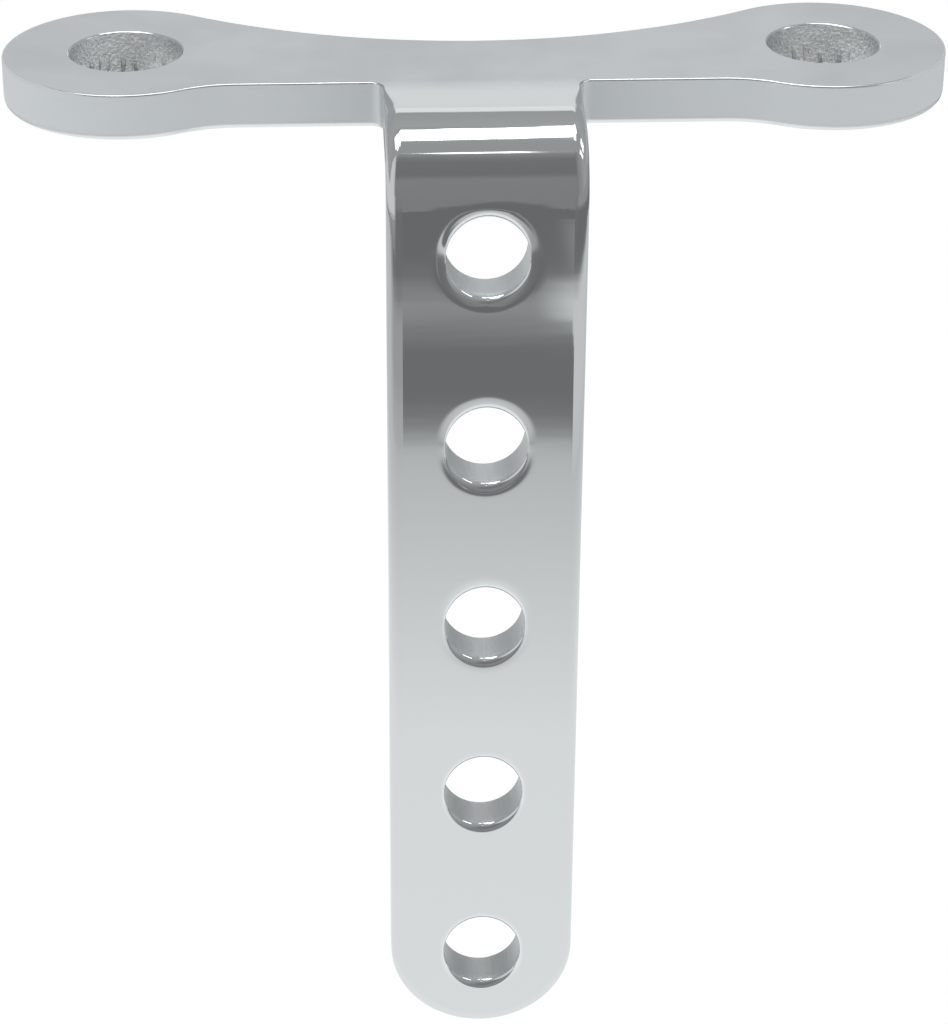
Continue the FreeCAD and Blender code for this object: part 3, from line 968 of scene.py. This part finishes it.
# The studio is a light tent with a dark strip on the camera's side. Angles are from straight above,
# forward positive, and floor rings are radii about the bracket. Levels are what the metal sees.
studio = {
    "floor": -150 * mm,
    "floorSize": 8,
    "floorColour": 0.42,
    "floorGlow": 0.8,
    "headings": (-180, 180),
    "tent": [(-90, 0.86), (-69, 0.80), (-65, 0.75), (-61, 0.90), (-50, 0.88), (-48, 0.38), (-17, 0.42),
             (-15, 0.38), (26, 0.36), (31, 0.62), (90, 0.62)],
    "rearSpan": (-0.2, 0.3),         # sideways ends of the light rear wall
    "rearSoft": 0.04,
    "rearFrom": -48.0,
    "rearSide": 0.38,
    "dark": [(27, 0.36), (31, 0.27), (40, 0.20), (58, 0.19), (66, 0.26), (92, 0.25)],
    "darkTurns": (-45, 18),          # headings between which the front is dark, right positive
    "darkSoft": 6.0,
    "ahead": (25.0, 28.0),           # angles over which the front takes over from the tent
    "sides": [(-62, 0.68), (-54, 0.62), (-46, 0.30), (-42, 0.22), (18, 0.22), (26, 0.27),
              (50, 0.32), (80, 0.40)],
    "poolSpan": (0, 0.4),            # radii that the pool, the ring and the far floor are drawn for
    "ringSpan": (0.2, 0.4),
    "farSpan": (0.3, 0.7),
    "pool": [(0.0, 0.90), (0.05, 0.90), (0.064, 0.87), (0.10, 0.86), (0.142, 0.85),
             (0.172, 0.77), (0.218, 0.645), (0.239, 0.59)],
    "middle": [(0.247, 0.57), (0.252, 0.51), (0.256, 0.42), (0.261, 0.30), (0.266, 0.22),
               (0.276, 0.18), (0.300, 0.18), (0.312, 0.28), (0.322, 0.33), (0.334, 0.205),
               (0.346, 0.177)],
    "left": [(0.247, 0.57), (0.256, 0.49), (0.272, 0.44), (0.285, 0.385), (0.31, 0.39),
             (0.322, 0.33), (0.328, 0.25), (0.34, 0.18)],
    "right": [(0.247, 0.62), (0.27, 0.65), (0.325, 0.66), (0.333, 0.5), (0.34, 0.2), (0.346, 0.17)],
    "middleLeft": -9 * mm,           # the middle strip's two edges, in the ring about the bracket
    "middleSoft": 0.004,
    "rightFrom": 10 * mm,            # the ring's and the far floor's right part begins here
    "middleRight": [(0.24, 0.10), (0.30, 0.10), (0.313, 0.032), (0.333, 0.032), (0.34, 0.045)],
    "streak": (38 * mm, 45 * mm),    # a light strip on the right, and how far out it lies
    "streakReach": (0.338, 0.368),
    "streakSoft": (0.002, 0.004),
    "streakLevel": 0.30,
    "ringFrom": 0.243,
    "ringHeading": (-75, 112),
    "ringSoft": 15.0,
    "farLeft": [(0.34, 0.27), (0.347, 0.275), (0.355, 0.31), (0.363, 0.36), (0.372, 0.45),
                (0.385, 0.58), (0.42, 0.68)],
    "farMiddle": [(0.34, 0.18), (0.44, 0.19), (0.62, 0.24)],
    "farRight": [(0.34, 0.17), (0.45, 0.18), (0.60, 0.32)],
    "farTurns": (-46, 24),           # headings where the far floor's left and right parts begin
    "farSoft": 7.0,
    "farFade": (0.343, 0.347),
    "gap": 0.17,                     # dark gap in the far floor, straight in front of the leg
    "gapLeft": (-17 * mm, 0.0265),   # where each edge starts, and how it spreads to the front
    "gapRight": (15.5 * mm, 0.089),
    "gapSoft": 0.003,
    "wedgeFrom": 0.455,              # beyond this the gap is lighter but for a dark wedge
    "wedgeFade": 0.03,
    "wedgeSoft": 0.002,
    "wedgeLength": 1.02,
    "wedgeHalf": 18 * mm,
    "wedgeMiddle": (26 * mm, 0.06),
    "wedgeBeside": 0.25,
}

lamps = [
    # name, middle, size, tilt about Y, turn about Z, level the metal sees
    ("topBox", (-0.0463, -0.0375, 0.505), (0.493, 0.150), 0, 30, 2.5),
    ("sideBoxLow", (0.6, 0.0, 0.385), (0.09, 0.14), 90, 0, 2.0),
    ("sideBoxHigh", (0.6, 0.0, 0.545), (0.15, 0.14), 90, 0, 2.0),
    ("rightSlot", (0.68, -0.225, 0.505), (0.5, 0.10), 0, 0, 1.9),
    ("topSlot", (0.0275, -0.287, 0.505), (0.031, 0.02), 0, 28, 2.2),
    ("lipLeft", (-0.19, -0.07, 0.505), (0.32, 0.20), 0, 0, 1.3),
    ("lipRight", (0.105, -0.03, 0.505), (0.10, 0.16), 0, 0, 1.6),
]


def grey(level):
    return (level, level, level, 1)


def ramp(bench, factor, name, span):
    # grey levels of the studio along a span, as one colour ramp
    start, end = span
    node = bench.add("ShaderNodeValToRGB", {0: bench.fade(factor, start, end)})
    points = node.color_ramp.elements
    for k, (where, level) in enumerate(studio[name]):
        spot = (where - start) / (end - start)
        point = points[k] if k < 2 else points.new(spot)
        point.position = spot
        point.color = grey(level)
    return node.outputs[0]


def between(bench, value, left, right, soft):
    # 1 between two edges, falling off over a soft margin
    rise = bench.fade(bench.less(value, left), -soft, soft)
    fall = bench.fade(bench.less(right, value), -soft, soft)
    return bench.times(rise, fall)


def along(bench, ahead, edge):
    # an edge that starts beside the bracket and spreads towards the front
    start, spread = edge
    return bench.plus(start, bench.times(ahead, spread))


def makeTent():
    world = bpy.data.worlds.new("lightTent")
    bpy.context.scene.world = world
    world.use_nodes = True
    bench = NodeBench(world.node_tree)
    background = world.node_tree.nodes["Background"]
    heading = bench.add("ShaderNodeTexCoord").outputs["Generated"]
    x, y, z = bench.split(heading)
    front = bench.times(y, -1.0)
    angle = bench.math("DEGREES", bench.math("ARCTAN2", front, z))
    turn = bench.math("DEGREES", bench.math("ARCTAN2", x, front))
    tent = ramp(bench, angle, "tent", studio["headings"])
    behind = bench.math("LESS_THAN", angle, studio["rearFrom"])
    atRear = between(bench, x, *studio["rearSpan"], studio["rearSoft"])
    beyond = bench.less(1.0, atRear)
    tent = mixColour(bench, bench.times(behind, beyond), tent, grey(studio["rearSide"]))
    dark = ramp(bench, angle, "dark", studio["headings"])
    beside = ramp(bench, turn, "sides", studio["headings"])
    inDark = between(bench, turn, *studio["darkTurns"], studio["darkSoft"])
    ahead = bench.fade(angle, *studio["ahead"])
    seen = mixColour(bench, ahead, tent, mixColour(bench, inDark, beside, dark))
    light = bench.add("ShaderNodeLightPath")
    look = mixColour(bench, light.outputs["Is Camera Ray"], seen, grey(1))
    world.node_tree.links.new(look, background.inputs["Color"])


def makeFloor():
    half = studio["floorSize"] / 2
    mesh = bpy.data.meshes.new("paleFloor")
    corners = ((-half, -half), (half, -half), (half, half), (-half, half))
    mesh.from_pydata([(x, y, studio["floor"]) for x, y in corners], [], [(0, 1, 2, 3)])
    floor = addObject("paleFloor", mesh)
    material = bpy.data.materials.new("paleFloor")
    material.use_nodes = True
    material.cycles.emission_sampling = "NONE"
    mesh.materials.append(material)
    tree = material.node_tree
    tree.nodes.clear()
    bench = NodeBench(tree)
    x, y, _ = bench.split(bench.place())
    ahead = bench.times(y, -1.0)
    reach = bench.math("SQRT", bench.plus(bench.times(x, x), bench.times(y, y)))
    turn = bench.math("DEGREES", bench.math("ARCTAN2", x, ahead))
    onRight = bench.math("GREATER_THAN", x, studio["rightFrom"])
    pool = ramp(bench, reach, "pool", studio["poolSpan"])
    middle, left, right, rightEdge = (
        ramp(bench, reach, name, studio["ringSpan"]) for name in ("middle", "left", "right", "middleRight"))
    inMiddle = between(bench, x, studio["middleLeft"], rightEdge, studio["middleSoft"])
    ring = mixColour(bench, inMiddle, mixColour(bench, onRight, left, right), middle)
    inRing = bench.times(between(bench, turn, *studio["ringHeading"], studio["ringSoft"]),
                         bench.math("GREATER_THAN", reach, studio["ringFrom"]))
    near = mixColour(bench, inRing, pool, ring)

    farLeft, farRight, farMiddle = (
        ramp(bench, reach, name, studio["farSpan"]) for name in ("farLeft", "farRight", "farMiddle"))
    far = mixColour(bench, between(bench, turn, *studio["farTurns"], studio["farSoft"]),
                    mixColour(bench, onRight, farLeft, farRight), farMiddle)
    inGap = between(bench, x, along(bench, ahead, studio["gapLeft"]),
                    along(bench, ahead, studio["gapRight"]), studio["gapSoft"])
    inGap = bench.times(inGap, bench.math("GREATER_THAN", ahead, 0.0))
    past = bench.less(ahead, studio["wedgeFrom"])
    narrowed = bench.less(1.0, bench.math("DIVIDE", past, studio["wedgeLength"]))
    wedge = bench.times(narrowed, studio["wedgeHalf"])
    middleLine = along(bench, past, studio["wedgeMiddle"])
    inWedge = between(bench, x, bench.less(middleLine, wedge), bench.plus(middleLine, wedge),
                      studio["wedgeSoft"])
    paler = bench.times(bench.less(1.0, inWedge), bench.fade(past, 0.0, studio["wedgeFade"]))
    gap = mixColour(bench, paler, grey(studio["gap"]), grey(studio["wedgeBeside"]))
    far = mixColour(bench, inGap, far, gap)
    seen = mixColour(bench, bench.fade(reach, *studio["farFade"]), near, far)
    softX, softY = studio["streakSoft"]
    inStreak = bench.times(between(bench, x, *studio["streak"], softX),
                           between(bench, reach, *studio["streakReach"], softY))
    seen = mixColour(bench, inStreak, seen, grey(studio["streakLevel"]))

    light = bench.add("ShaderNodeLightPath").outputs
    matt = bench.add("ShaderNodeBsdfDiffuse", {"Color": grey(studio["floorColour"])})
    glow = bench.add("ShaderNodeEmission", {"Color": grey(1), "Strength": studio["floorGlow"]})
    toEye = bench.add("ShaderNodeAddShader", {0: matt.outputs[0], 1: glow.outputs[0]})
    toMetal = bench.add("ShaderNodeEmission", {"Color": seen})
    mirrored = bench.math("MAXIMUM", light["Is Glossy Ray"], light["Is Transmission Ray"])
    mixed = bench.add("ShaderNodeMixShader", {0: mirrored, 1: toEye.outputs[0], 2: toMetal.outputs[0]})
    result = bench.add("ShaderNodeOutputMaterial")
    tree.links.new(mixed.outputs[0], result.inputs["Surface"])


def makeLamps():
    for name, middle, size, tilt, turn, level in lamps:
        lamp = bpy.data.lights.new(name, "AREA")
        lamp.shape = "RECTANGLE"
        lamp.size, lamp.size_y = size
        lamp.energy = level * math.pi * size[0] * size[1]
        holder = addObject(name, lamp)
        holder.location = middle
        holder.rotation_euler = (0, math.radians(tilt), math.radians(turn))
        holder.visible_camera = False


makeTent()
makeFloor()
makeLamps()
print("studio lit")

bpy.context.scene.view_settings.view_transform = "Standard"
